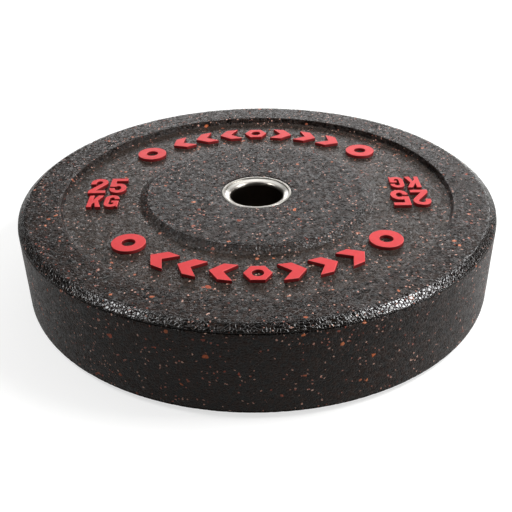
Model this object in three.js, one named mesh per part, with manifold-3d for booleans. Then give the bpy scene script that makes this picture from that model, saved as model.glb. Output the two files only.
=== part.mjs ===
// A crumb rubber bumper plate of 25 kg, lying flat: rubber disc, steel insert and raised red markings.
// Millimetres, +Z along the bore. The origin is on the bore's axis at half the thickness.
import * as THREE from "three";
import { mergeVertices } from "three/addons/utils/BufferGeometryUtils.js";
import Module from "manifold-3d";

const wasm = await Module();
wasm.setup();

// Rubber disc
const discDiameter = 450;
const discThickness = 86;
const rimBevelWidth = 7;
const rimBevelDepth = 5;
const rimShoulderRadius = 1.4;
const rimLandWidth = 32;
const edgeGrooveWidth = 1.6;
const edgeGrooveDepth = 1.5;
const recessDepth = 6;
const recessWallSlope = 2.2;
const recessFillet = 1.8;
const webWidth = 70;
const hubSlopeWidth = 8.8;
const hubHeight = 4.7;
const hubDish = 1.4;
const hubLip = 1;

// Steel insert
const boreDiameter = 50.4;
const sleeveWall = 5.6;
const mouthLand = 0.5;
const collarWall = 2.5;
const collarEdgeBevel = 0.5;
const collarGrooveWidth = 8;
const collarGrooveDepth = 1.2;
const insertSetBack = 0.6;
const sleeveSetBack = 0.8;
const anchorFlangeWidth = 28;
const anchorThickness = 6;
const anchorHoleDiameter = 14;
const anchorHoleCount = 8;

// Fits
const fitGap = 0.3;
const weldOverlap = 1;

// Raised markings
const markingHeight = 3.15;
const markingInset = 2.6;
const figureHeight = 31.2;
const figureWidth = 16.9;
const figureStroke = 5.3;
const figureSpacing = 2.9;
const letterHeight = 23.5;
const letterWidth = 13.7;
const letterStroke = 4.6;
const letterSpacing = 2;
const lineSpacing = 5.6;
const groupRise = 2.9;
const chevronHeight = 24;
const chevronStrokeShare = 0.55;
const hexagonWidth = 24;
const hexagonHole = 10;
const ringDiameter = 30;
const ringHole = 12;
const motifGap = 6.2;
const ringGap = 15;
const ringAngle = 49.7;
const chevronsEachSide = 3;
const hexagonSides = 6;

// Facets round a full turn
const discFacets = 96;
const insertFacets = 64;
const keyFacets = 16;
const ringFacets = 24;
const arcFacets = 6;
const filletFacets = 2;
const mouthFacets = 4;

// Sizes that follow from these
const discRadius = discDiameter / 2;
const halfThickness = discThickness / 2;
const rimOuterRadius = discRadius - rimBevelWidth;
const rimInnerRadius = rimOuterRadius - rimLandWidth;
const webLevel = halfThickness - recessDepth;
const recessFootRadius = rimInnerRadius - recessWallSlope;
const hubFootRadius = recessFootRadius - webWidth;
const hubTopRadius = hubFootRadius - hubSlopeWidth;
const hubLevel = webLevel + hubHeight;
const hubLipLevel = hubLevel - hubDish;
const markingRadius = (hubFootRadius + recessFootRadius) / 2 - markingInset;
const boreRadius = boreDiameter / 2;
const sleeveRadius = boreRadius + sleeveWall;
const collarInnerRadius = sleeveRadius + fitGap;
const collarRadius = collarInnerRadius + collarWall;
const insertLevel = hubLipLevel - insertSetBack;
const sleeveLevel = insertLevel - sleeveSetBack;
const bevelFootLevel = halfThickness - rimBevelDepth;
const collarGrooveRadius = collarRadius - collarGrooveDepth;
const insertPocketRadius = collarRadius + fitGap;
const anchorLevel = anchorThickness / 2;
const anchorRadius = collarRadius + anchorFlangeWidth;
const anchorPocketRadius = anchorRadius + fitGap;
const anchorHoleRadius = anchorHoleDiameter / 2;
const anchorHoleCircleRadius = collarRadius + anchorFlangeWidth / 2;
const collarGrooveLevel = (insertLevel + anchorLevel) / 2;
const collarGrooveTop = collarGrooveLevel + collarGrooveWidth / 2;
const collarGrooveFoot = collarGrooveLevel - collarGrooveWidth / 2;

const quarterTurn = Math.PI / 2;
const halfTurn = Math.PI;
const fullTurn = 2 * Math.PI;
const radians = THREE.MathUtils.degToRad;

const crumbRubber = { color: 0x2e2c2b, roughness: 0.85, metalness: 0 };
const redRubber = { color: 0xd8343c, roughness: 0.6, metalness: 0 };
const stainlessSteel = { color: 0xc6c2ba, roughness: 0.3, metalness: 1 };
const plainSteel = { color: 0x7f7d7a, roughness: 0.5, metalness: 1 };

const plate = new THREE.Group();

// Adds one named mesh with its own material to a group
function addPiece(parent, name, geometry, finish) {
  const mesh = new THREE.Mesh(geometry, new THREE.MeshStandardMaterial(finish));
  mesh.name = name;
  parent.add(mesh);
  return mesh;
}

// Points of a circle, the first one on +X
function circlePoints(x, y, radius, facets) {
  const points = [];
  for (let i = 0; i < facets; i += 1) {
    const angle = (fullTurn * i) / facets;
    points.push(new THREE.Vector2(x + radius * Math.cos(angle), y + radius * Math.sin(angle)));
  }
  return points;
}

// Centres of the anchor plate's holes
function anchorHoleCentres() {
  return circlePoints(0, 0, anchorHoleCircleRadius, anchorHoleCount);
}

// Turns a closed profile of radius and height points round the Z axis
function turned(profile, facets) {
  const points = profile.map(([radius, height]) => new THREE.Vector2(radius, height));
  points.push(points[0].clone());
  const geometry = new THREE.LatheGeometry(points, facets);
  geometry.rotateX(quarterTurn);
  return welded(geometry);
}

// Leaves only positions, with shared vertices merged
function welded(geometry) {
  geometry.deleteAttribute("normal");
  geometry.deleteAttribute("uv");
  return mergeVertices(geometry);
}

// Extrudes an outline from one height to another
function raised(outline, bottom, height) {
  const options = { depth: height, bevelEnabled: false, curveSegments: arcFacets };
  const geometry = new THREE.ExtrudeGeometry(outline, options);
  geometry.translate(0, 0, bottom);
  return geometry;
}

function toSolid(geometry) {
  const closed = welded(geometry.clone());
  const vertProperties = new Float32Array(closed.attributes.position.array);
  const triVerts = new Uint32Array(closed.index.array);
  return new wasm.Manifold(new wasm.Mesh({ numProp: 3, vertProperties, triVerts }));
}

function toGeometry(solid) {
  const mesh = solid.getMesh();
  const geometry = new THREE.BufferGeometry();
  geometry.setAttribute("position", new THREE.BufferAttribute(mesh.vertProperties, 3));
  geometry.setIndex(new THREE.BufferAttribute(mesh.triVerts, 1));
  geometry.computeVertexNormals();
  return geometry;
}

// A profile's upper half, followed by the same points mirrored below the middle plane
function mirrored(upperHalf) {
  const lowerHalf = upperHalf.map(([radius, height]) => [radius, -height]).reverse();
  return [...upperHalf, ...lowerHalf];
}

// Points of an arc in the profile, from one angle to another
function profileArc(radius, height, arcRadius, from, to, facets) {
  const points = [];
  for (let i = 0; i <= facets; i += 1) {
    const angle = from + ((to - from) * i) / facets;
    points.push([radius + arcRadius * Math.cos(angle), height + arcRadius * Math.sin(angle)]);
  }
  return points;
}

// The rounded shoulder between the rim's bevel and its land
function rimShoulder() {
  const lean = Math.atan2(rimBevelDepth, rimBevelWidth);
  const centreRadius = rimOuterRadius - rimShoulderRadius * Math.tan(lean / 2);
  const centreLevel = halfThickness - rimShoulderRadius;
  const start = quarterTurn - lean;
  return profileArc(centreRadius, centreLevel, rimShoulderRadius, start, quarterTurn, filletFacets);
}

// The concave corner between the recess wall and the web, from the wall to the web
function recessCorner() {
  const centreRadius = recessFootRadius - recessFillet;
  const centreLevel = webLevel + recessFillet;
  return profileArc(centreRadius, centreLevel, recessFillet, 0, -quarterTurn, filletFacets);
}

// Rubber body with a pocket for the insert, and a rubber key through each hole of the anchor plate
function rubberDisc() {
  const profile = mirrored([
    [discRadius, bevelFootLevel - edgeGrooveWidth],
    [discRadius - edgeGrooveDepth, bevelFootLevel - edgeGrooveWidth / 2],
    [discRadius, bevelFootLevel],
    ...rimShoulder(),
    [rimInnerRadius, halfThickness],
    ...recessCorner(),
    [hubFootRadius, webLevel],
    [hubTopRadius, hubLevel],
    [insertPocketRadius + hubLip, hubLipLevel],
    [insertPocketRadius, hubLipLevel - hubLip],
    [insertPocketRadius, collarGrooveTop - fitGap],
    [collarGrooveRadius + fitGap, collarGrooveTop - fitGap],
    [collarGrooveRadius + fitGap, collarGrooveFoot + fitGap],
    [insertPocketRadius, collarGrooveFoot + fitGap],
    [insertPocketRadius, anchorLevel],
    [anchorPocketRadius, anchorLevel],
  ]);
  let solid = toSolid(turned(profile, discFacets));
  for (const centre of anchorHoleCentres()) {
    const points = circlePoints(centre.x, centre.y, anchorHoleRadius - fitGap, keyFacets);
    const key = raised(new THREE.Shape(points), -anchorLevel - weldOverlap, anchorThickness + 2 * weldOverlap);
    solid = solid.add(toSolid(key));
  }
  return toGeometry(solid);
}

// Tube that slides on the bar, with a rounded mouth at each end
function boreSleeve() {
  const landRadius = sleeveRadius - mouthLand;
  const mouthRadius = landRadius - boreRadius;
  const centreLevel = sleeveLevel - mouthRadius;
  const profile = mirrored([
    [sleeveRadius, sleeveLevel],
    ...profileArc(landRadius, centreLevel, mouthRadius, quarterTurn, halfTurn, mouthFacets),
  ]);
  return turned(profile, insertFacets);
}

// Ring round the sleeve, from the anchor plate to the end face on one side
function hubCollar(side) {
  const profile = [
    [collarRadius, anchorLevel],
    [collarRadius, collarGrooveFoot],
    [collarGrooveRadius, collarGrooveFoot],
    [collarGrooveRadius, collarGrooveTop],
    [collarRadius, collarGrooveTop],
    [collarRadius, insertLevel - collarEdgeBevel],
    [collarRadius - collarEdgeBevel, insertLevel],
    [collarInnerRadius, insertLevel],
    [collarInnerRadius, anchorLevel],
  ];
  const placed = profile.map(([radius, height]) => [radius, side * height]);
  if (side < 0) {
    placed.reverse();
  }
  return turned(placed, insertFacets);
}

// Pierced disc that locks the insert in the rubber
function anchorPlate() {
  const outline = new THREE.Shape(circlePoints(0, 0, anchorRadius, insertFacets));
  outline.holes.push(new THREE.Path(circlePoints(0, 0, collarInnerRadius, insertFacets)));
  for (const centre of anchorHoleCentres()) {
    outline.holes.push(new THREE.Path(circlePoints(centre.x, centre.y, anchorHoleRadius, keyFacets)));
  }
  return raised(outline, -anchorLevel, anchorThickness);
}

// Figure 2: a round head, a slanted neck and a flat foot
function figureTwo(width, height, stroke) {
  const centreX = width / 2;
  const outerRadius = width / 2;
  const innerRadius = outerRadius - stroke;
  const headLevel = height - outerRadius;
  const tipDropShare = 0.65;
  const tipLevel = headLevel - stroke * tipDropShare;
  const neckAngle = radians(-38);
  const footRunShare = 0.42;
  const outline = new THREE.Shape();
  outline.moveTo(0, 0);
  outline.lineTo(width, 0);
  outline.lineTo(width, stroke);
  outline.lineTo(width * footRunShare, stroke);
  outline.absarc(centreX, headLevel, outerRadius, neckAngle, halfTurn, false);
  outline.lineTo(0, tipLevel);
  outline.lineTo(stroke, tipLevel);
  outline.absarc(centreX, headLevel, innerRadius, halfTurn, neckAngle, true);
  outline.lineTo(0, stroke);
  return outline;
}

// Half an ellipse, or part of one, about a centre
function addArc(outline, x, y, radiusX, radiusY, from, to) {
  outline.absellipse(x, y, radiusX, radiusY, from, to, from > to, 0);
}

// Figure 5: a bar and a stem over a round bowl, open at the left
function figureFive(width, height, stroke) {
  const bowlTopShare = 0.64;
  const stemReachShare = 0.7;
  const barShare = 0.96;
  const centreX = width / 2;
  const centreY = (height * bowlTopShare) / 2;
  const innerX = centreX - stroke;
  const innerY = centreY - stroke;
  const shoulderAngle = Math.acos((stroke - centreX) / centreX);
  const mouthAngle = halfTurn - Math.asin(stemReachShare);
  const outline = new THREE.Shape();
  outline.moveTo(0, centreY);
  addArc(outline, centreX, centreY, centreX, centreY, halfTurn, fullTurn + shoulderAngle);
  outline.lineTo(stroke, height - stroke);
  outline.lineTo(width * barShare, height - stroke);
  outline.lineTo(width * barShare, height);
  outline.lineTo(0, height);
  outline.lineTo(0, centreY + innerY * stemReachShare);
  addArc(outline, centreX, centreY, innerX, innerY, mouthAngle, -halfTurn);
  return outline;
}

// Outline through points that are shares of a width and a height
function shareOutline(shares, width, height) {
  return new THREE.Shape(shares.map(([x, y]) => new THREE.Vector2(x * width, y * height)));
}

// Letter K: a stem, an arm and a leg
function letterK(width, height, stroke) {
  const stemShare = stroke / width;
  const limbEndShare = 1.15;
  const endShare = 1 - (limbEndShare * stroke) / width;
  const outlineShares = [
    [0, 0],
    [stemShare, 0],
    [stemShare, 0.27],
    [0.47, 0.4],
    [endShare, 0],
    [1, 0],
    [0.68, 0.55],
    [1, 1],
    [endShare, 1],
    [stemShare, 0.6],
    [stemShare, 1],
    [0, 1],
  ];
  return shareOutline(outlineShares, width, height);
}

// Letter G: a tall round letter with a shelf and a straight spur
function letterG(width, height, stroke) {
  const endShare = 0.29;
  const tipDropShare = 0.25;
  const shelfTopShare = 0.52;
  const shelfFootShare = 0.36;
  const shelfRunShare = 0.48;
  const spurShare = 0.33;
  const spurAngle = -radians(60);
  const centreX = width / 2;
  const endY = height * endShare;
  const upperLevel = height - endY;
  const innerX = centreX - stroke;
  const innerY = endY - stroke;
  const tipLevel = upperLevel - stroke * tipDropShare;
  const spurX = width - stroke * spurShare;
  const outline = new THREE.Shape();
  outline.moveTo(width, 0);
  outline.lineTo(width, height * shelfTopShare);
  outline.lineTo(width * shelfRunShare, height * shelfTopShare);
  outline.lineTo(width * shelfRunShare, height * shelfFootShare);
  outline.lineTo(width - stroke, height * shelfFootShare);
  addArc(outline, centreX, endY, innerX, innerY, 0, -halfTurn);
  addArc(outline, centreX, upperLevel, innerX, innerY, halfTurn, 0);
  outline.lineTo(width - stroke, tipLevel);
  outline.lineTo(width, tipLevel);
  addArc(outline, centreX, upperLevel, centreX, endY, 0, halfTurn);
  addArc(outline, centreX, endY, centreX, endY, halfTurn, fullTurn + spurAngle);
  outline.lineTo(spurX, stroke / 2);
  outline.lineTo(spurX, 0);
  return outline;
}

// Chevron about its own centre, pointing to +X or -X
function chevron(direction, width, height) {
  const halfWidth = width / 2;
  const halfHeight = height / 2;
  const stroke = width * chevronStrokeShare;
  const points = [
    [-halfWidth, -halfHeight],
    [stroke - halfWidth, -halfHeight],
    [halfWidth, 0],
    [stroke - halfWidth, halfHeight],
    [-halfWidth, halfHeight],
    [halfWidth - stroke, 0],
  ];
  return new THREE.Shape(points.map(([x, y]) => new THREE.Vector2(direction * x, y)));
}

// Flat shape of regular sides with a round hole, about its own centre
function pierced(outerDiameter, outerFacets, holeDiameter) {
  const outline = new THREE.Shape(circlePoints(0, 0, outerDiameter / 2, outerFacets));
  outline.holes.push(new THREE.Path(circlePoints(0, 0, holeDiameter / 2, ringFacets)));
  return outline;
}

// Outline turned over front to back, for a marking that is read from below
function turnedOver(outline) {
  const flip = (points) => points.map((point) => new THREE.Vector2(point.x, -point.y)).reverse();
  const { shape, holes } = outline.extractPoints(arcFacets);
  const result = new THREE.Shape(flip(shape));
  result.holes = holes.map((hole) => new THREE.Path(flip(hole)));
  return result;
}

// Seats a marking on the web of one face. The place and the turn are given as seen from that face
function addMarking(face, name, outline, x, y, turn) {
  const seen = face.side > 0 ? outline : turnedOver(outline);
  const bottom = face.side > 0 ? webLevel : -webLevel - markingHeight;
  const mesh = addPiece(plate, `${face.name}_${name}`, raised(seen, bottom, markingHeight), redRubber);
  mesh.position.set(x, face.side * y, 0);
  mesh.rotation.z = face.side * turn;
}

// The weight in figures over its unit, upright at the left and turned half round at the right
function addWeightGroup(face, groupName, turn) {
  const totalHeight = figureHeight + lineSpacing + letterHeight;
  const top = groupRise + totalHeight / 2;
  const figureLine = top - figureHeight;
  const letterLine = figureLine - lineSpacing - letterHeight;
  const figureShift = (figureWidth + figureSpacing) / 2;
  const letterShift = (letterWidth + letterSpacing) / 2;
  const characters = [
    ["2", figureTwo, -figureShift, figureLine, figureWidth, figureHeight, figureStroke],
    ["5", figureFive, figureShift, figureLine, figureWidth, figureHeight, figureStroke],
    ["K", letterK, -letterShift, letterLine, letterWidth, letterHeight, letterStroke],
    ["G", letterG, letterShift, letterLine, letterWidth, letterHeight, letterStroke],
  ];
  for (const [sign, draw, centre, line, width, height, stroke] of characters) {
    const corner = new THREE.Vector2(centre - width / 2 - markingRadius, line);
    corner.rotateAround(new THREE.Vector2(), turn);
    addMarking(face, `${groupName}_${sign}`, draw(width, height, stroke), corner.x, corner.y, turn);
  }
}

// Seats a motif on an arc, its centre a given run along the arc from the arc's middle
function addMotif(face, name, outline, run, turn) {
  const lean = turn - run / markingRadius;
  const centre = new THREE.Vector2(0, markingRadius).rotateAround(new THREE.Vector2(), lean);
  addMarking(face, name, outline, centre.x, centre.y, lean);
}

// A hexagon in the middle of an arc, then chevrons and a ring to each side, all with their heads to the rim
function addMotifArc(face, arcName, turn) {
  const ringRun = radians(ringAngle) * markingRadius;
  const chevronRun = ringRun - hexagonWidth / 2 - ringDiameter / 2 - ringGap;
  const pitch = chevronRun / chevronsEachSide;
  const chevronWidth = pitch - motifGap;
  const hexagon = pierced(hexagonWidth, hexagonSides, hexagonHole);
  addMotif(face, `${arcName}_hexagon`, hexagon, 0, turn);
  for (const direction of [-1, 1]) {
    const sideName = direction < 0 ? "left" : "right";
    for (let i = 1; i <= chevronsEachSide; i += 1) {
      const run = direction * (hexagonWidth / 2 + pitch * i - chevronWidth / 2);
      const shape = chevron(direction, chevronWidth, chevronHeight);
      addMotif(face, `${arcName}_chevron_${sideName}_${i}`, shape, run, turn);
    }
    const ring = pierced(ringDiameter, ringFacets, ringHole);
    addMotif(face, `${arcName}_ring_${sideName}`, ring, direction * ringRun, turn);
  }
}

addPiece(plate, "rubber_disc", rubberDisc(), crumbRubber);
addPiece(plate, "bore_sleeve", boreSleeve(), stainlessSteel);
addPiece(plate, "hub_collar_top", hubCollar(1), stainlessSteel);
addPiece(plate, "hub_collar_bottom", hubCollar(-1), stainlessSteel);
addPiece(plate, "anchor_plate", anchorPlate(), plainSteel);

const faces = [
  { name: "top", side: 1 },
  { name: "under", side: -1 },
];
for (const face of faces) {
  addWeightGroup(face, "weight_left", 0);
  addWeightGroup(face, "weight_right", halfTurn);
  addMotifArc(face, "arc_back", 0);
  addMotifArc(face, "arc_front", halfTurn);
}

export default plate;
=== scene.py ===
# Looks of a crumb rubber bumper plate of 25 kg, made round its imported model
import math

import bmesh
import bpy
from mathutils import Matrix, Vector, noise


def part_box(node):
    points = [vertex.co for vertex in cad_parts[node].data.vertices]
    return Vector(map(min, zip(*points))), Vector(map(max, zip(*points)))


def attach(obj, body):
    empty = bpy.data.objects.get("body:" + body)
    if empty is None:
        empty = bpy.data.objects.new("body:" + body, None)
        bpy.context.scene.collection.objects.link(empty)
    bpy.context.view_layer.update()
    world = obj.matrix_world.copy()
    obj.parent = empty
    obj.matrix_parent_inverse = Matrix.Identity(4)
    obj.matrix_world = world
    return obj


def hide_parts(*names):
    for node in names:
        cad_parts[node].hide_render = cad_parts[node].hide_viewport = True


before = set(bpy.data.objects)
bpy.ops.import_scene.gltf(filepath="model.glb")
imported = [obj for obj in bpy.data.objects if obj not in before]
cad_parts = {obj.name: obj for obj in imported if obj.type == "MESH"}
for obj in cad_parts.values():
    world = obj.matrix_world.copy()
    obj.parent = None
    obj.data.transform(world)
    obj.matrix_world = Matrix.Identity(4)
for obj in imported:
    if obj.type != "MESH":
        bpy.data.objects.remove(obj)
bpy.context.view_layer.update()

MM = 0.001
HALF_TURN = math.pi
FULL_TURN = 2 * math.pi

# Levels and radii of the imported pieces, in millimetres
disc_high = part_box("rubber_disc")[1] / MM
sleeve_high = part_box("bore_sleeve")[1] / MM
collar_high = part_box("hub_collar_top")[1] / MM
collar_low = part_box("hub_collar_top")[0] / MM
chevron_low, chevron_high = (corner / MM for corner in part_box("top_arc_back_chevron_left_1"))
disc_radius = disc_high.x
half_thickness = disc_high.z
web_level = chevron_low.z
marking_height = chevron_high.z - chevron_low.z
insert_level = collar_high.z
sleeve_level = sleeve_high.z
sleeve_radius = sleeve_high.x
collar_radius = collar_high.x
collar_foot = collar_low.z

# Rubber disc, in millimetres
rim_bevel_width = 7
rim_bevel_depth = 5
rim_shoulder = 1.4
rim_land_width = 32
edge_groove_width = 1.6
edge_groove_depth = 1.5
recess_wall_slope = 2.2
web_width = 70
hub_slope_width = 8.8
hub_height = 4.7
hub_dish = 1.4
hub_lip = 1
fit_gap = 0.3
rim_outer_radius = disc_radius - rim_bevel_width
rim_inner_radius = rim_outer_radius - rim_land_width
bevel_foot_level = half_thickness - rim_bevel_depth
recess_foot_radius = rim_inner_radius - recess_wall_slope
hub_foot_radius = recess_foot_radius - web_width
hub_top_radius = hub_foot_radius - hub_slope_width
hub_level = web_level + hub_height
pocket_radius = collar_radius + fit_gap
hub_lip_level = hub_level - hub_dish
pocket_top = hub_lip_level - hub_lip

# Steel insert, in millimetres and radians
bore_radius = 25.2
mouth_land = 0.6
mouth_slope = math.radians(27)
mouth_round = 3
collar_edge = 0.5
collar_groove_width = 8
collar_groove_depth = 1.2
collar_groove_level = (insert_level + collar_foot) / 2

# Raised markings, in millimetres and radians. A character has a width, a height and a stroke
marking_shift = 2.6
marking_radius = (hub_foot_radius + recess_foot_radius) / 2 - marking_shift
marking_root = 0.3
marking_edge = 0.5
figure_size = (16.9, 31.2, 5.3)
figure_spacing = 2.9
letter_size = (13.7, 23.5, 4.6)
letter_spacing = 2
line_spacing = 5.6
group_rise = 2.9
chevron_height = 24
chevron_stroke_share = 0.55
hexagon_width = 24
hexagon_hole = 10
ring_diameter = 30
ring_hole = 12
motif_gap = 6.2
ring_gap = 15
ring_angle = math.radians(49.7)
chevrons_each_side = 3

# Facets of the fine meshes
hub_segments = 288
face_segments = 2 * hub_segments
edge_segments = 2 * face_segments
steel_segments = 256
curve_steps = 28
motif_points = 48


def linear(hex_colour):
    """Linear RGBA of an sRGB hex colour."""
    channels = [int(hex_colour[i:i + 2], 16) / 255 for i in (1, 3, 5)]
    curve = [c / 12.92 if c <= 0.04045 else ((c + 0.055) / 1.055) ** 2.4 for c in channels]
    return (*curve, 1)


def add(tree, kind, settings, inputs):
    """Adds a node with its settings, each input set to a value or linked from a socket."""
    made = tree.nodes.new(kind)
    for name, value in settings.items():
        setattr(made, name, value)
    for key, value in inputs.items():
        if isinstance(value, bpy.types.NodeSocket):
            tree.links.new(value, made.inputs[key])
        else:
            made.inputs[key].default_value = value
    return made


def new_material(name):
    """An empty material and its tree."""
    material = bpy.data.materials.new(name)
    material.use_nodes = True
    material.node_tree.nodes.clear()
    return material, material.node_tree


def per_metre(millimetres):
    """A texture's scale, for a pattern whose repeat is this many millimetres."""
    return 1 / (millimetres * MM)


def coloured_crumbs(tree, draws, clusters):
    """Nearly black crumbs, a few of them red, orange or pink. A crumb is coloured where its draw is
    over a limit, and the limit is lower inside a cluster."""
    cluster_edge = (0.35, 0.65)
    crumb_draw, fine_draw, large_draw = draws
    colour = add(
        tree,
        "ShaderNodeMix",
        {"data_type": "RGBA"},
        {0: crumb_draw["Blue"], 6: linear("#050403"), 7: linear("#2b1f1a")},
    ).outputs[2]
    for draw, deep, pale, lone, clustered in (
        (crumb_draw, "#7e4338", "#b96a44", 0.999, 0.993),
        (fine_draw, "#8f4436", "#d0a897", 0.993, 0.972),
        (large_draw, "#9a4230", "#c4683c", 1.0, 0.9985),
    ):
        fleck = add(
            tree,
            "ShaderNodeMix",
            {"data_type": "RGBA"},
            {0: draw["Green"], 6: linear(deep), 7: linear(pale)},
        ).outputs[2]
        limit = add(
            tree,
            "ShaderNodeMapRange",
            {},
            {
                "Value": clusters,
                "From Min": cluster_edge[0],
                "From Max": cluster_edge[1],
                "To Min": lone,
                "To Max": clustered,
            },
        ).outputs["Result"]
        coloured = add(
            tree,
            "ShaderNodeMath",
            {"operation": "GREATER_THAN"},
            {0: draw["Red"], 1: limit},
        ).outputs[0]
        colour = add(
            tree,
            "ShaderNodeMix",
            {"data_type": "RGBA"},
            {0: coloured, 6: colour, 7: fleck},
        ).outputs[2]
    return colour


def painted_web_light(tree, colour, place, upright, draw):
    """A colour painted paler on some crumbs of the upward facing parts of the sunken web, as painted
    light.
    """
    web_light_share = 0.12
    level_edge = (0.6, 0.95)
    along_axis = [
        add(tree, "ShaderNodeSeparateXYZ", {}, {"Vector": vector}).outputs["Z"]
        for vector in (place, upright)
    ]
    depth, facing = (
        add(tree, "ShaderNodeMath", {"operation": "ABSOLUTE"}, {0: part}).outputs[0]
        for part in along_axis
    )
    sunken = add(
        tree,
        "ShaderNodeMapRange",
        {},
        {
            "Value": depth,
            "From Min": web_level * MM,
            "From Max": hub_lip_level * MM,
            "To Min": web_light_share,
            "To Max": 0,
        },
    ).outputs["Result"]
    level = add(
        tree,
        "ShaderNodeMapRange",
        {},
        {"Value": facing, "From Min": level_edge[0], "From Max": level_edge[1]},
    ).outputs["Result"]
    web_light_mask = sunken
    for share in (level, draw):
        web_light_mask = add(
            tree,
            "ShaderNodeMath",
            {"operation": "MULTIPLY"},
            {0: web_light_mask, 1: share},
        ).outputs[0]
    # Painted light: the sunken web's upward facing crumbs are painted paler
    return add(
        tree,
        "ShaderNodeMix",
        {"data_type": "RGBA"},
        {0: web_light_mask, 6: colour, 7: linear("#8a8076")},
    ).outputs[2]


def crumb_rubber():
    """Recycled tyre crumb bound and pressed in a steel mould. It is nearly black, dull and
    pebbled, with a few red and orange crumbs. The bevel at its edge came out glossier. The grain
    on the real crumbs is finer, and is drawn here at a size that a render can hold."""
    crumb = 2.7
    fine_crumb = 1.3
    large_crumb = 3.6
    grain = 0.55
    cluster = 38
    relief = 0.25
    grain_relief = 0.06
    seam_width = 0.2
    lean = 0.35
    dull_range = (0.25, 0.42)
    gloss_roughness = 0.18
    skin_strength = 0.45
    material, tree = new_material("pressed_crumb_rubber")
    place = add(tree, "ShaderNodeTexCoord", {}, {}).outputs["Object"]
    edge = add(tree, "ShaderNodeAttribute", {"attribute_name": "edge"}, {}).outputs["Fac"]
    upright = add(tree, "ShaderNodeNewGeometry", {}, {}).outputs["Normal"]
    cells = [
        add(tree, "ShaderNodeTexVoronoi", {}, {"Vector": place, "Scale": per_metre(size)}).outputs
        for size in (crumb, fine_crumb, large_crumb)
    ]
    draws = [
        add(tree, "ShaderNodeSeparateColor", {}, {"Color": cell["Color"]}).outputs
        for cell in cells
    ]
    fine_draw = draws[1]["Blue"]
    borders = add(
        tree,
        "ShaderNodeTexVoronoi",
        {"feature": "DISTANCE_TO_EDGE"},
        {"Vector": place, "Scale": per_metre(crumb)},
    ).outputs["Distance"]
    grains, clusters = (
        add(
            tree,
            "ShaderNodeTexNoise",
            {},
            {"Vector": place, "Scale": per_metre(size), "Detail": 2},
        ).outputs["Fac"]
        for size in (grain, cluster)
    )
    colour = painted_web_light(tree, coloured_crumbs(tree, draws, clusters), place, upright, fine_draw)

    # The edge has a black skin of glaze, which stops at the seams between the crumbs
    seams = add(
        tree,
        "ShaderNodeMapRange",
        {},
        {"Value": borders, "From Max": seam_width, "To Min": 1.0, "To Max": 0.0},
    ).outputs["Result"]
    filled = add(tree, "ShaderNodeMath", {"operation": "SUBTRACT"}, {0: 1.0, 1: seams}).outputs[0]
    glaze = add(
        tree,
        "ShaderNodeMath",
        {"operation": "MULTIPLY", "use_clamp": True},
        {0: edge, 1: filled},
    ).outputs[0]
    # Painted shade: the groove and the crevice at the pocket, where the edge value is below zero,
    # are painted dark
    painted_crevice_shade = add(
        tree,
        "ShaderNodeMapRange",
        {},
        {"Value": edge, "From Min": -1.0, "From Max": 0.0, "To Min": 1.0, "To Max": 0.0},
    ).outputs["Result"]
    glaze_and_painted_shade = add(
        tree,
        "ShaderNodeMath",
        {"operation": "MAXIMUM"},
        {0: glaze, 1: painted_crevice_shade},
    ).outputs[0]
    # Both the glaze and the painted crevice shade turn the colour nearly black
    colour = add(
        tree,
        "ShaderNodeMix",
        {"data_type": "RGBA"},
        {0: glaze_and_painted_shade, 6: colour, 7: linear("#0c0b0a")},
    ).outputs[2]
    dull = add(
        tree,
        "ShaderNodeMapRange",
        {},
        {"Value": fine_draw, "To Min": dull_range[0], "To Max": dull_range[1]},
    ).outputs["Result"]
    roughness = add(
        tree,
        "ShaderNodeMix",
        {"data_type": "FLOAT"},
        {0: edge, 2: dull, 3: gloss_roughness},
    ).outputs[0]

    # Each crumb leans its own way, with grain on it and a seam round it
    tilt = add(
        tree,
        "ShaderNodeVectorMath",
        {"operation": "MULTIPLY_ADD"},
        {0: cells[0]["Color"], 1: (lean,) * 3, 2: (-lean / 2,) * 3},
    ).outputs[0]
    leaning = add(tree, "ShaderNodeVectorMath", {"operation": "ADD"}, {0: upright, 1: tilt})
    facets = add(
        tree,
        "ShaderNodeVectorMath",
        {"operation": "NORMALIZE"},
        {0: leaning.outputs[0]},
    ).outputs[0]
    height = add(
        tree,
        "ShaderNodeMath",
        {"operation": "MULTIPLY_ADD"},
        {0: grains, 1: grain_relief / relief, 2: seams},
    ).outputs[0]
    surface = add(
        tree,
        "ShaderNodeBump",
        {"invert": True},
        {"Height": height, "Distance": relief * MM, "Strength": 1.0, "Normal": facets},
    ).outputs["Normal"]
    skin_surface = add(
        tree,
        "ShaderNodeBump",
        {"invert": True},
        {"Height": height, "Distance": relief * MM, "Strength": skin_strength},
    ).outputs["Normal"]
    shader = add(
        tree,
        "ShaderNodeBsdfPrincipled",
        {},
        {
            "Base Color": colour,
            "Roughness": roughness,
            "IOR": 1.52,
            "Specular IOR Level": 0.18,
            "Normal": surface,
            "Coat Weight": glaze,
            "Coat Roughness": 0.12,
            "Coat IOR": 1.5,
            "Coat Normal": skin_surface,
        },
    )
    add(tree, "ShaderNodeOutputMaterial", {}, {"Surface": shader.outputs["BSDF"]})
    return material


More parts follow.
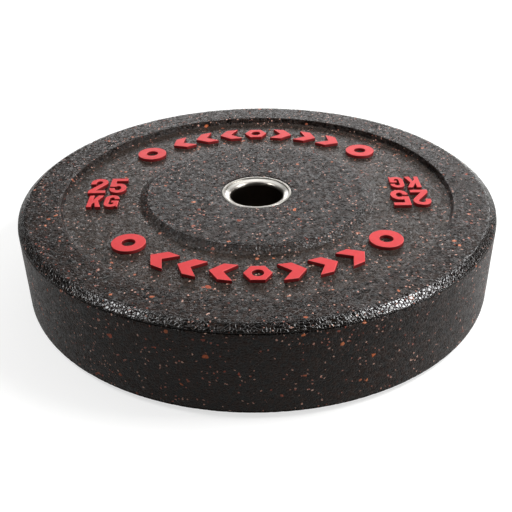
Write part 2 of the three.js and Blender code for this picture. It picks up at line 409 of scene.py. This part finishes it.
def red_rubber():
    """Solid red rubber, moulded and bonded on. It is a clean, even red with a satin skin. Its
    rounded upper edges are painted a little paler as a painted highlight, and its upright sides are
    painted darker as painted shade. Its real grain is finer, and is drawn here at a size that a
    render can hold."""
    grain = 0.8
    blotch = 9
    relief = 0.04
    rim_highlight_share = 0.35
    level_edge = (0.1, 0.6)
    satin_range = (0.42, 0.62)
    material, tree = new_material("moulded_red_rubber")
    place = add(tree, "ShaderNodeTexCoord", {}, {}).outputs["Object"]
    edge = add(tree, "ShaderNodeAttribute", {"attribute_name": "edge"}, {}).outputs["Fac"]
    grains, blotches = (
        add(
            tree,
            "ShaderNodeTexNoise",
            {},
            {"Vector": place, "Scale": per_metre(size), "Detail": detail},
        ).outputs["Fac"]
        for size, detail in ((grain, 3), (blotch, 2))
    )
    body = add(
        tree,
        "ShaderNodeMix",
        {"data_type": "RGBA"},
        {0: blotches, 6: linear("#bb262c"), 7: linear("#d03437")},
    ).outputs[2]
    # Painted highlight: the rounded upper edges are painted paler
    painted_rim_highlight = add(
        tree,
        "ShaderNodeMath",
        {"operation": "MULTIPLY"},
        {0: edge, 1: rim_highlight_share},
    ).outputs[0]
    top = add(
        tree,
        "ShaderNodeMix",
        {"data_type": "RGBA"},
        {0: painted_rim_highlight, 6: body, 7: linear("#e2706b")},
    ).outputs[2]
    upright = add(tree, "ShaderNodeNewGeometry", {}, {}).outputs["Normal"]
    along_axis = add(tree, "ShaderNodeSeparateXYZ", {}, {"Vector": upright}).outputs["Z"]
    facing = add(tree, "ShaderNodeMath", {"operation": "ABSOLUTE"}, {0: along_axis}).outputs[0]
    level = add(
        tree,
        "ShaderNodeMapRange",
        {},
        {"Value": facing, "From Min": level_edge[0], "From Max": level_edge[1]},
    ).outputs["Result"]
    # Painted shade: faces that stand upright are painted dark red
    colour = add(
        tree,
        "ShaderNodeMix",
        {"data_type": "RGBA"},
        {0: level, 6: linear("#7c1a1c"), 7: top},
    ).outputs[2]
    roughness = add(
        tree,
        "ShaderNodeMapRange",
        {},
        {"Value": grains, "To Min": satin_range[0], "To Max": satin_range[1]},
    ).outputs["Result"]
    surface = add(
        tree,
        "ShaderNodeBump",
        {},
        {"Height": grains, "Distance": relief * MM, "Strength": 1.0},
    ).outputs["Normal"]
    shader = add(
        tree,
        "ShaderNodeBsdfPrincipled",
        {},
        {
            "Base Color": colour,
            "Roughness": roughness,
            "IOR": 1.52,
            "Specular IOR Level": 0.35,
            "Normal": surface,
        },
    )
    add(tree, "ShaderNodeOutputMaterial", {}, {"Surface": shader.outputs["BSDF"]})
    return material


def steel(name, bright, dark, relief, smooth, dull, tool_mark=0.3):
    """A steel whose tool marks run round the axis. Turned, it shines and shows soft reflections.
    Brushed, it is greyer and duller. As it left the mill, it is dark and matt. Its bore is painted
    dark, as painted shade. Real tool marks are finer, and are drawn here at a size that a render can
    hold."""
    smudge = 11
    material, tree = new_material(name)
    place = add(tree, "ShaderNodeTexCoord", {}, {}).outputs["Object"]
    bore = add(tree, "ShaderNodeAttribute", {"attribute_name": "bore"}, {}).outputs["Fac"]
    parts = add(tree, "ShaderNodeSeparateXYZ", {}, {"Vector": place}).outputs
    flat = add(tree, "ShaderNodeCombineXYZ", {}, {"X": parts["X"], "Y": parts["Y"]}).outputs[0]
    radius = add(
        tree,
        "ShaderNodeVectorMath",
        {"operation": "LENGTH"},
        {0: flat},
    ).outputs["Value"]
    round_place = add(tree, "ShaderNodeCombineXYZ", {}, {"X": radius, "Z": parts["Z"]}).outputs[0]
    marks, smudges = (
        add(
            tree,
            "ShaderNodeTexNoise",
            {},
            {"Vector": where, "Scale": per_metre(size), "Detail": detail},
        ).outputs["Fac"]
        for where, size, detail in ((round_place, tool_mark, 2), (place, smudge, 3))
    )
    clean = add(
        tree,
        "ShaderNodeMix",
        {"data_type": "RGBA"},
        {0: smudges, 6: linear(bright), 7: linear(dark)},
    ).outputs[2]
    # Painted shade: where the bore layer is set, the colour is painted dark
    colour = add(
        tree,
        "ShaderNodeMix",
        {"data_type": "RGBA"},
        {0: bore, 6: clean, 7: linear("#5f554c")},
    ).outputs[2]
    roughness = add(
        tree,
        "ShaderNodeMapRange",
        {},
        {"Value": marks, "To Min": smooth, "To Max": dull},
    ).outputs["Result"]
    surface = add(
        tree,
        "ShaderNodeBump",
        {},
        {"Height": marks, "Distance": relief * MM, "Strength": 1.0},
    ).outputs["Normal"]
    shader = add(
        tree,
        "ShaderNodeBsdfPrincipled",
        {},
        {"Base Color": colour, "Metallic": 1.0, "Roughness": roughness, "Normal": surface},
    )
    add(tree, "ShaderNodeOutputMaterial", {}, {"Surface": shader.outputs["BSDF"]})
    return material


def matt_board():
    """Pale painted board. It looks white to the camera, also far from the lamps, and dim in
    reflections, and it keeps the plate's soft shadow. Distances are in metres."""
    lamps_reach = (1.2, 2.4)
    glow_near = 0.64
    glow_far = 1.0
    glow_reflected = 0.18
    material, tree = new_material("matt_painted_board")
    shaded = add(tree, "ShaderNodeBsdfDiffuse", {}, {"Color": linear("#7c7c7b")})
    paint = add(tree, "ShaderNodeBsdfDiffuse", {}, {"Color": linear("#b4b4b3")})
    place = add(tree, "ShaderNodeTexCoord", {}, {}).outputs["Object"]
    distance = add(
        tree,
        "ShaderNodeVectorMath",
        {"operation": "LENGTH"},
        {0: place},
    ).outputs["Value"]
    in_view = add(
        tree,
        "ShaderNodeMapRange",
        {},
        {
            "Value": distance,
            "From Min": lamps_reach[0],
            "From Max": lamps_reach[1],
            "To Min": glow_near,
            "To Max": glow_far,
        },
    ).outputs["Result"]
    path = add(tree, "ShaderNodeLightPath", {}, {}).outputs
    strength = add(
        tree,
        "ShaderNodeMapRange",
        {},
        {"Value": path["Is Camera Ray"], "To Min": glow_reflected, "To Max": in_view},
    ).outputs["Result"]
    glow = add(tree, "ShaderNodeEmission", {}, {"Color": linear("#ffffff"), "Strength": strength})
    pale = add(tree, "ShaderNodeAddShader", {}, {0: paint.outputs[0], 1: glow.outputs[0]})
    mixed = add(
        tree,
        "ShaderNodeMixShader",
        {},
        {0: seen_directly(tree), 1: shaded.outputs[0], 2: pale.outputs[0]},
    )
    add(tree, "ShaderNodeOutputMaterial", {}, {"Surface": mixed.outputs[0]})
    return material


def seen_directly(tree):
    """One for camera, glossy and transmission rays, and zero for the light on a dull surface."""
    path = add(tree, "ShaderNodeLightPath", {}, {}).outputs
    seen = path["Is Camera Ray"]
    for other in (path["Is Glossy Ray"], path["Is Transmission Ray"]):
        seen = add(tree, "ShaderNodeMath", {"operation": "MAXIMUM"}, {0: seen, 1: other}).outputs[0]
    return seen


def make_camera():
    """The photograph's viewpoint, looking down on the plate from its front. The camera stands at
    a distance and elevation from a point below the top face, and is turned a little off it."""
    distance = 762.6
    aim_depth = 46
    elevation = math.radians(29.465)
    pitch = math.radians(1.959)
    yaw = math.radians(-0.138)
    roll = math.radians(-0.948)
    down = elevation + pitch
    forward = Vector((
        math.sin(yaw) * math.cos(down),
        math.cos(yaw) * math.cos(down),
        -math.sin(down),
    ))
    level_right = forward.cross(Vector((0, 0, 1))).normalized()
    level_up = level_right.cross(forward)
    right = math.cos(roll) * level_right + math.sin(roll) * level_up
    up = math.cos(roll) * level_up - math.sin(roll) * level_right
    place = Vector((0, -math.cos(elevation), math.sin(elevation))) * distance
    place.z += half_thickness - aim_depth
    data = bpy.data.cameras.new("camera")
    data.sensor_width = 36
    data.lens = 53.63
    camera = bpy.data.objects.new("camera", data)
    turn = Matrix((right, up, -forward)).transposed().to_4x4()
    camera.matrix_world = Matrix.Translation(place * MM) @ turn
    bpy.context.scene.collection.objects.link(camera)
    bpy.context.scene.camera = camera


def softbox(name, azimuth, elevation, distance, width, height, power):
    """A soft area lamp that faces the plate. Azimuth is counted from +X towards +Y. Angles are in
    degrees, lengths in metres and power in watts."""
    a = math.radians(azimuth)
    e = math.radians(elevation)
    direction = Vector((math.cos(a) * math.cos(e), math.sin(a) * math.cos(e), math.sin(e)))
    data = bpy.data.lights.new(name, "AREA")
    data.shape = "RECTANGLE"
    data.size = width
    data.size_y = height
    data.energy = power
    lamp = bpy.data.objects.new(name, data)
    lamp.location = direction * distance
    lamp.rotation_euler = direction.to_track_quat("Z", "Y").to_euler()
    bpy.context.scene.collection.objects.link(lamp)


def make_light():
    """Soft lamps at the right, the left, overhead and behind, in a surround that the camera sees
    white and that lights only weakly. Gloss sees it dim, a little paler at the horizon, with a
    white card overhead that reaches down to the two back corners."""
    weak_light = 0.22
    horizon_edge = (0.02, 0.08)
    horizon_light = 0.25
    dim_light = 0.03
    card_edge = (0.86, 0.93)
    card_front = (-0.12, -0.02)
    softbox("right_softbox", -3, 50, 1.3, 0.48, 0.38, 15.5)
    softbox("left_softbox", 188, 53, 1.3, 0.35, 0.35, 5.7)
    softbox("top_strip", 90, 82, 1.5, 1.2, 0.25, 1.3)
    softbox("back_strip", 80, 17, 1.6, 1.9, 0.3, 10.3)
    softbox("right_strip", -16, 8, 1.6, 0.9, 0.35, 11)
    world = bpy.data.worlds.new("studio")
    world.use_nodes = True
    tree = world.node_tree
    tree.nodes.clear()
    white = linear("#ffffff")
    weak = add(tree, "ShaderNodeBackground", {}, {"Color": white, "Strength": weak_light})
    direction = add(tree, "ShaderNodeTexCoord", {}, {}).outputs["Generated"]
    parts = add(tree, "ShaderNodeSeparateXYZ", {}, {"Vector": direction}).outputs
    horizon = add(
        tree,
        "ShaderNodeMapRange",
        {},
        {
            "Value": parts["Z"],
            "From Min": horizon_edge[0],
            "From Max": horizon_edge[1],
            "To Min": horizon_light,
            "To Max": dim_light,
        },
    ).outputs["Result"]
    aside = add(tree, "ShaderNodeMath", {"operation": "ABSOLUTE"}, {0: parts["X"]}).outputs[0]
    height = add(
        tree,
        "ShaderNodeMath",
        {"operation": "MULTIPLY_ADD"},
        {0: aside, 1: parts["Y"], 2: parts["Z"]},
    ).outputs[0]
    high, behind = (
        add(
            tree,
            "ShaderNodeMapRange",
            {},
            {"Value": value, "From Min": edge[0], "From Max": edge[1]},
        ).outputs["Result"]
        for value, edge in ((height, card_edge), (parts["Y"], card_front))
    )
    card = add(tree, "ShaderNodeMath", {"operation": "MULTIPLY"}, {0: high, 1: behind}).outputs[0]
    path = add(tree, "ShaderNodeLightPath", {}, {}).outputs
    strength = horizon
    for brighter in (card, path["Is Camera Ray"]):
        strength = add(
            tree,
            "ShaderNodeMath",
            {"operation": "MAXIMUM"},
            {0: strength, 1: brighter},
        ).outputs[0]
    shown = add(tree, "ShaderNodeBackground", {}, {"Color": white, "Strength": strength})
    mixed = add(
        tree,
        "ShaderNodeMixShader",
        {},
        {0: seen_directly(tree), 1: weak.outputs[0], 2: shown.outputs[0]},
    )
    add(tree, "ShaderNodeOutputWorld", {}, {"Surface": mixed.outputs[0]})
    bpy.context.scene.world = world


def make_floor():
    """A wide pale floor just under the plate. Its reach is in metres."""
    reach = 6
    bm = bmesh.new()
    corners = ((-reach, -reach), (reach, -reach), (reach, reach), (-reach, reach))
    bm.faces.new([bm.verts.new((x, y, 0)) for x, y in corners])
    floor = mesh_object("floor", bm, matt_board())
    floor.location.z = -half_thickness * MM


def mesh_object(name, bm, material):
    """Turns a bmesh into a smooth shaded object with one material."""
    mesh = bpy.data.meshes.new(name)
    bm.to_mesh(mesh)
    bm.free()
    mesh.shade_smooth()
    mesh.materials.append(material)
    made = bpy.data.objects.new(name, mesh)
    bpy.context.scene.collection.objects.link(made)
    return made


def finish_piece(name, bm, material, crease, node):
    """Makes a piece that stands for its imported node, its faces turned outward. Edges that turn by
    more than the crease, in degrees, stay sharp."""
    bm.normal_update()
    bmesh.ops.recalc_face_normals(bm, faces=bm.faces)
    piece = mesh_object(name, bm, material)
    piece.data.set_sharp_from_angle(angle=math.radians(crease))
    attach(piece, "root")
    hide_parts(node)
    return piece


def rounded(before, corner, after, radius, steps):
    """Points of the arc that rounds one corner of a profile, or just the corner if it is sharp."""
    if not radius:
        return [corner]
    into = (corner - before).normalized()
    out = (after - corner).normalized()
    turn = math.atan2(into.x * out.y - into.y * out.x, into.dot(out))
    start = corner - into * radius * math.tan(abs(turn) / 2)
    centre = start + Vector((-into.y, into.x)) * math.copysign(radius, turn)
    spoke = start - centre
    return [centre + Matrix.Rotation(turn * i / steps, 2) @ spoke for i in range(steps + 1)]


def profile_rows(corners, closed=False):
    """Rows of a profile. A corner is its radius, level, rounding, steps of the rounding, steps to
    the next corner, segments round the axis, and how much its surface belongs to the edge."""
    places = [Vector(corner[:2]) for corner in corners]
    last = len(corners) - 1
    arcs = []
    for i, (_, _, radius, steps, *_) in enumerate(corners):
        before = places[i - 1] if i or closed else places[i]
        after = places[(i + 1) % len(places)] if i < last or closed else places[i]
        arcs.append(rounded(before, places[i], after, radius, steps))
    rows = []
    for i, (*_, steps, segments, edge) in enumerate(corners):
        rows += [(point, segments, edge) for point in arcs[i]]
        if i < last or closed:
            start, end = arcs[i][-1], arcs[(i + 1) % len(arcs)][0]
            rows += [(start.lerp(end, k / steps), segments, edge) for k in range(1, steps)]
    return rows


def both_faces(upper):
    """An upper profile that starts at the middle plane, after the same rows mirrored below it."""
    mirror = Vector((1, -1))
    lower = [(point * mirror, segments, edge) for point, segments, edge in reversed(upper)]
    return lower + upper[1:]


def unevenness(place, edge):
    """How far the moulded skin lies below its nominal surface, in millimetres. All of it waves a
    little, and the edge is also pebbled: each crumb is flat on top, with sunken seams round it."""
    slow_length = 13
    slow_depth = 0.1
    crumb = 3
    crumb_depth = 0.28
    flat_share = 0.5
    slow = slow_depth * (0.5 + 0.5 * noise.noise(place / slow_length))
    if edge <= 0:
        return slow
    nearest = noise.voronoi(place / crumb)[0][0]
    seam = min(max(nearest - flat_share, 0) / (1 - flat_share), 1)
    return slow + edge * crumb_depth * seam


def add_ring(bm, layer, row, outward, skin):
    """One ring of vertices round the axis, set in by the skin's unevenness."""
    point, segments, edge = row
    ring = []
    for i in range(segments):
        angle = FULL_TURN * i / segments
        across = Vector((math.cos(angle), math.sin(angle), 0))
        place = across * point.x + Vector((0, 0, point.y))
        if skin:
            normal = across * outward.x + Vector((0, 0, outward.y))
            place -= normal * skin(place, edge)
        vertex = bm.verts.new(place * MM)
        vertex[layer] = edge
        ring.append(vertex)
    return ring


def join_rings(bm, first, second):
    """Faces between two rings. One may have twice as many vertices as the other."""
    if len(second) > len(first):
        first, second = second, first
    ratio = len(first) // len(second)
    for i, start in enumerate(second):
        end = second[(i + 1) % len(second)]
        run = [first[(ratio * i + k) % len(first)] for k in range(ratio + 1)]
        if ratio == 1:
            bm.faces.new((start, end, run[1], run[0]))
        else:
            bm.faces.new((start, run[1], run[0]))
            bm.faces.new((start, end, run[1]))
            bm.faces.new((end, run[2], run[1]))


def lathe(bm, layer, rows, skin=None, closed=False):
    """Turns the rows of a profile into a surface round the axis. A closed profile ends where it
    starts. The skin, if given, says how far a place is set in."""
    rings = []
    last = len(rows) - 1
    for i, row in enumerate(rows):
        before = rows[i - 1][0] if i or closed else row[0]
        after = rows[(i + 1) % len(rows)][0] if i < last or closed else row[0]
        along = (after - before).normalized()
        outward = Vector((along.y, -along.x))
        rings.append(add_ring(bm, layer, row, outward, skin))
    for first, second in zip(rings, rings[1:]):
        join_rings(bm, first, second)
    if closed:
        join_rings(bm, rings[-1], rings[0])


def add_packed_pocket(bm):
    """Takes the pocket for the insert, with its rubber keys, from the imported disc. It is what lies
    under the hub's face and within a share of the hub's radius."""
    weld = 0.001
    margin = 0.05
    highest = pocket_top + margin
    hub_share = 0.83
    widest = hub_share * hub_top_radius
    start = len(bm.verts)
    bm.from_mesh(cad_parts["rubber_disc"].data)
    bm.verts.ensure_lookup_table()
    bmesh.ops.remove_doubles(bm, verts=bm.verts[start:], dist=weld * MM)
    bm.verts.ensure_lookup_table()
    outer = []
    for vertex in bm.verts[start:]:
        if abs(vertex.co.z) > highest * MM or vertex.co.xy.length > widest * MM:
            outer.append(vertex)
    bmesh.ops.delete(bm, geom=outer, context="VERTS")


def make_disc(material):
    """The rubber disc: a fine skin with soft corners and a crumbled edge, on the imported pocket."""
    slope_gloss = 0.3
    slope_margin = 2.5
    shoulder_dip = hub_dish / 20
    groove_level = bevel_foot_level - edge_groove_width / 2
    # The last column is the edge share; its value -1 on the groove and on the pocket's top paints
    # those crevices dark, as painted shade
    upper = profile_rows([
        (disc_radius, 0, 0, 0, 6, face_segments, 0),
        (disc_radius, bevel_foot_level - edge_groove_width, 0.25, 2, 1, edge_segments, 0),
        (disc_radius - edge_groove_depth, groove_level, 0.2, 2, 1, edge_segments, -1),
        (disc_radius, bevel_foot_level, 0.4, 2, 8, edge_segments, 1),
        (rim_outer_radius, half_thickness, rim_shoulder, 3, 1, edge_segments, 1),
        (rim_outer_radius - 2 * rim_shoulder, half_thickness, 0, 0, 7, face_segments, 0),
        (rim_inner_radius, half_thickness, 1, 3, 2, face_segments, 0),
        (recess_foot_radius, web_level, 1.8, 3, 7, face_segments, 0),
        (hub_foot_radius + slope_margin, web_level, 0, 0, 1, face_segments, 0),
        (hub_foot_radius, web_level, 1, 2, 4, face_segments, slope_gloss),
        (hub_top_radius, hub_level, 1, 3, 1, face_segments, slope_gloss),
        (hub_top_radius - slope_margin, hub_level - shoulder_dip, 0, 0, 6, hub_segments, 0),
        (pocket_radius + hub_lip, hub_lip_level, 0.6, 2, 1, hub_segments, 0),
        (pocket_radius, pocket_top, 0, 0, 1, hub_segments, -1),
    ])
    bm = bmesh.new()
    lathe(bm, bm.verts.layers.float.new("edge"), both_faces(upper), unevenness)
    add_packed_pocket(bm)
    loops = [edge for edge in bm.edges if edge.is_boundary]
    for side in (-1, 1):
        here = [edge for edge in loops if edge.verts[0].co.z * side > 0]
        bmesh.ops.bridge_loops(bm, edges=here)
    finish_piece("rubber_disc_moulding", bm, material, 50, "rubber_disc")


def make_sleeve(material):
    """The bore sleeve: a turned tube with a coned and rounded mouth at each end."""
    mouth_start = sleeve_radius - mouth_land
    mouth_foot = sleeve_level - (mouth_start - bore_radius) * math.tan(mouth_slope)
    # The last column paints the bore dark, as painted shade, fading in from the rounding of its
    # mouth
    upper = profile_rows([
        (sleeve_radius, 0, 0, 0, 4, steel_segments, 0),
        (sleeve_radius, sleeve_level, 0.15, 2, 1, steel_segments, 0),
        (mouth_start, sleeve_level, 1.5, 3, 3, steel_segments, 0),
        (bore_radius, mouth_foot, mouth_round, 8, 1, steel_segments, 0.6),
        (bore_radius, mouth_foot - mouth_round, 0, 0, 10, steel_segments, 1),
        (bore_radius, 0, 0, 0, 1, steel_segments, 1),
    ])
    bm = bmesh.new()
    lathe(bm, bm.verts.layers.float.new("bore"), both_faces(upper)[:-1], closed=True)
    finish_piece("bore_sleeve_turning", bm, material, 40, "bore_sleeve")


def make_collar(node, side, material):
    """A collar round the sleeve, with a groove that the rubber grips."""
    inner = sleeve_radius + fit_gap
    groove_radius = collar_radius - collar_groove_depth
    groove_foot = collar_groove_level - collar_groove_width / 2
    groove_top = collar_groove_level + collar_groove_width / 2
    corners = [
        (collar_radius, collar_foot, 0.2, 2, 2, steel_segments, 0),
        (collar_radius, groove_foot, 0.2, 2, 1, steel_segments, 0),
        (groove_radius, groove_foot, 0.2, 2, 2, steel_segments, 0),
        (groove_radius, groove_top, 0.2, 2, 1, steel_segments, 0),
        (collar_radius, groove_top, 0.2, 2, 2, steel_segments, 0),
        (collar_radius, insert_level, collar_edge, 4, 2, steel_segments, 0),
        (inner, insert_level, 0.2, 2, 6, steel_segments, 0),
        (inner, collar_foot, 0.2, 2, 2, steel_segments, 0),
    ]
    bm = bmesh.new()
    lathe(bm, bm.verts.layers.float.new("bore"), profile_rows(corners, closed=True), closed=True)
    if side < 0:
        bmesh.ops.rotate(bm, verts=bm.verts, matrix=Matrix.Rotation(HALF_TURN, 3, "X"))
    finish_piece(f"{node}_turning", bm, material, 40, node)


def arc(x, y, radius_x, radius_y, start, end):
    """Points of an ellipse's arc, both ends included."""
    angles = [start + (end - start) * i / curve_steps for i in range(curve_steps + 1)]
    return [(x + radius_x * math.cos(a), y + radius_y * math.sin(a)) for a in angles]


def figure_two(width, height, stroke):
    """Figure 2: a round head, a slanted neck and a flat foot."""
    middle = width / 2
    inner = middle - stroke
    head_level = height - middle
    tip_level = head_level - stroke * 0.65
    neck_foot = width * 0.42
    neck = math.radians(-38)
    return [
        (0, 0),
        (width, 0),
        (width, stroke),
        (neck_foot, stroke),
        *arc(middle, head_level, middle, middle, neck, HALF_TURN),
        (0, tip_level),
        (stroke, tip_level),
        *arc(middle, head_level, inner, inner, HALF_TURN, neck),
        (0, stroke),
    ]


def figure_five(width, height, stroke):
    """Figure 5: a bar and a stem over a round bowl, open at the left."""
    stem_reach = 0.7
    bar = width * 0.96
    middle = width / 2
    level = height * 0.64 / 2
    inner_x = middle - stroke
    inner_y = level - stroke
    shoulder = math.acos((stroke - middle) / middle)
    mouth = HALF_TURN - math.asin(stem_reach)
    return [
        *arc(middle, level, middle, level, HALF_TURN, FULL_TURN + shoulder),
        (stroke, height - stroke),
        (bar, height - stroke),
        (bar, height),
        (0, height),
        (0, level + inner_y * stem_reach),
        *arc(middle, level, inner_x, inner_y, mouth, -HALF_TURN),
    ]


def letter_k(width, height, stroke):
    """Letter K: a stem, an arm and a leg."""
    stem = stroke / width
    end = 1 - 1.15 * stem
    arm_foot = 0.6
    leg_top = 0.27
    crotch = (0.47, 0.4)
    knee = (0.68, 0.55)
    shares = [
        (0, 0),
        (stem, 0),
        (stem, leg_top),
        crotch,
        (end, 0),
        (1, 0),
        knee,
        (1, 1),
        (end, 1),
        (stem, arm_foot),
        (stem, 1),
        (0, 1),
    ]
    return [(x * width, y * height) for x, y in shares]


def letter_g(width, height, stroke):
    """Letter G: a tall round letter with a shelf and a straight spur."""
    middle = width / 2
    end = height * 0.29
    upper_level = height - end
    inner_x = middle - stroke
    inner_y = end - stroke
    shelf = width * 0.48
    shelf_top = height * 0.52
    shelf_foot = height * 0.36
    tip_level = upper_level - stroke * 0.25
    spur = width - stroke * 0.33
    spur_turn = math.radians(60)
    return [
        (width, 0),
        (width, shelf_top),
        (shelf, shelf_top),
        (shelf, shelf_foot),
        (width - stroke, shelf_foot),
        *arc(middle, end, inner_x, inner_y, 0, -HALF_TURN),
        *arc(middle, upper_level, inner_x, inner_y, HALF_TURN, 0),
        (width - stroke, tip_level),
        (width, tip_level),
        *arc(middle, upper_level, middle, end, 0, HALF_TURN),
        *arc(middle, end, middle, end, HALF_TURN, FULL_TURN - spur_turn),
        (spur, stroke / 2),
        (spur, 0),
    ]


def chevron(direction, width, height):
    """Chevron about its own centre, pointing to +X or -X."""
    x = width / 2
    y = height / 2
    inside = x - width * chevron_stroke_share
    points = [(-x, -y), (-inside, -y), (x, 0), (-inside, y), (-x, y), (inside, 0)]
    return [(direction * px, py) for px, py in points]


def polygon(diameter, sides, points):
    """A regular outline, the same number of points on each side, the first corner on +X."""
    angles = [FULL_TURN * i / sides for i in range(sides + 1)]
    corners = [Vector((math.cos(angle), math.sin(angle))) for angle in angles]
    each = points // sides
    outline = []
    for start, end in zip(corners, corners[1:]):
        outline += [start.lerp(end, k / each) * diameter / 2 for k in range(each)]
    return [tuple(point) for point in outline]


def without_repeats(outline):
    """An outline with no two neighbours in the same place."""
    nearest = 0.01
    kept = []
    for i, point in enumerate(outline):
        if math.dist(point, outline[i - 1]) > nearest:
            kept.append(point)
    return kept


def moulded(outline, hole):
    """A raised marking, its root just under the web and its upper edge soft, in millimetres."""
    bm = bmesh.new()
    layer = bm.verts.layers.float.new("edge")
    feet = []
    heads = []
    for loop in filter(None, (outline, hole)):
        foot = [bm.verts.new((x, y, -marking_root)) for x, y in loop]
        head = [bm.verts.new((x, y, marking_height)) for x, y in loop]
        for i in range(len(loop)):
            bm.faces.new((foot[i - 1], foot[i], head[i], head[i - 1]))
        feet.append(foot)
        heads.append(head)
    for rings in (feet, heads):
        if hole:
            for i in range(len(hole)):
                bm.faces.new((rings[0][i - 1], rings[0][i], rings[1][i], rings[1][i - 1]))
        else:
            bm.faces.new(rings[0])
    bmesh.ops.recalc_face_normals(bm, faces=bm.faces)
    rim = [bm.edges.get((head[i - 1], head[i])) for head in heads for i in range(len(head))]
    soft = bmesh.ops.bevel(
        bm,
        geom=rim,
        offset=marking_edge,
        segments=3,
        profile=0.5,
        affect="EDGES",
    )
    # The rounded rim is marked in the edge layer, which the red rubber paints paler as a painted
    # highlight
    for vertex in soft["verts"]:
        if vertex.co.z < marking_height:
            vertex[layer] = 1
    return bm


def make_marking(node, outline, place, turn, material, hole=None):
    """Seats one marking on the web of its face, its flat faces shaded flat."""
    bm = moulded(without_repeats(outline), hole)
    seat = Matrix.Translation((place.x, place.y, web_level)) @ Matrix.Rotation(turn, 4, "Z")
    if node.startswith("under"):
        seat = Matrix.Rotation(HALF_TURN, 4, "X") @ seat
    bm.transform(Matrix.Scale(MM, 4) @ seat)
    marking = finish_piece(f"{node}_moulding", bm, material, 40, node)
    marking.modifiers.new("flat_faces", "WEIGHTED_NORMAL").keep_sharp = True


def make_weight(face, group, turn, material):
    """The weight in figures over its unit, both centred on the group."""
    total = figure_size[1] + line_spacing + letter_size[1]
    figure_line = group_rise + total / 2 - figure_size[1]
    letter_line = figure_line - line_spacing - letter_size[1]
    figure_shift = (figure_size[0] + figure_spacing) / 2
    letter_shift = (letter_size[0] + letter_spacing) / 2
    for sign, draw, centre, line, size in (
        ("2", figure_two, -figure_shift, figure_line, figure_size),
        ("5", figure_five, figure_shift, figure_line, figure_size),
        ("K", letter_k, -letter_shift, letter_line, letter_size),
        ("G", letter_g, letter_shift, letter_line, letter_size),
    ):
        corner = Matrix.Rotation(turn, 2) @ Vector((centre - size[0] / 2 - marking_radius, line))
        make_marking(f"{face}_{group}_{sign}", draw(*size), corner, turn, material)


def make_motif(node, outline, run, turn, material, hole=None):
    """Seats a motif on an arc, its centre a given run from the arc's middle."""
    lean = turn - run / marking_radius
    centre = Matrix.Rotation(lean, 2) @ Vector((0, marking_radius))
    make_marking(node, outline, centre, lean, material, hole)


def make_arc(face, name, turn, material):
    """A hexagon in the middle of an arc, then chevrons and a ring to each side."""
    ring_run = ring_angle * marking_radius
    chevron_run = ring_run - hexagon_width / 2 - ring_diameter / 2 - ring_gap
    pitch = chevron_run / chevrons_each_side
    chevron_width = pitch - motif_gap
    node = f"{face}_{name}"
    hexagon = polygon(hexagon_width, 6, motif_points)
    opening = polygon(hexagon_hole, motif_points, motif_points)
    make_motif(f"{node}_hexagon", hexagon, 0, turn, material, opening)
    for direction, side in ((-1, "left"), (1, "right")):
        for i in range(1, chevrons_each_side + 1):
            run = direction * (hexagon_width / 2 + pitch * i - chevron_width / 2)
            shape = chevron(direction, chevron_width, chevron_height)
            make_motif(f"{node}_chevron_{side}_{i}", shape, run, turn, material)
        ring = polygon(ring_diameter, motif_points, motif_points)
        opening = polygon(ring_hole, motif_points, motif_points)
        make_motif(f"{node}_ring_{side}", ring, direction * ring_run, turn, material, opening)


def finish_anchor(material):
    """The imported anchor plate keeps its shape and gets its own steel."""
    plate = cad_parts["anchor_plate"]
    plate.data.materials.clear()
    plate.data.materials.append(material)


make_camera()
make_light()
make_floor()
make_disc(crumb_rubber())
turned_stainless = steel(
    "turned_stainless_steel",
    "#dcd9d3",
    "#cecbc4",
    relief=0.0003,
    smooth=0.28,
    dull=0.34,
)
brushed_stainless = steel(
    "brushed_stainless_steel",
    "#c4c0b9",
    "#b5b1aa",
    relief=0.003,
    smooth=0.3,
    dull=0.4,
)
mill_finish = steel(
    "mill_finish_steel",
    "#8f8c88",
    "#6d6a66",
    relief=0.01,
    smooth=0.45,
    dull=0.6,
    tool_mark=0.8,
)
make_sleeve(turned_stainless)
make_collar("hub_collar_top", 1, brushed_stainless)
make_collar("hub_collar_bottom", -1, brushed_stainless)
finish_anchor(mill_finish)
red = red_rubber()
for face in ("top", "under"):
    make_weight(face, "weight_left", 0, red)
    make_weight(face, "weight_right", HALF_TURN, red)
    make_arc(face, "arc_back", 0, red)
    make_arc(face, "arc_front", HALF_TURN, red)

bpy.context.scene.view_settings.view_transform = "Standard"
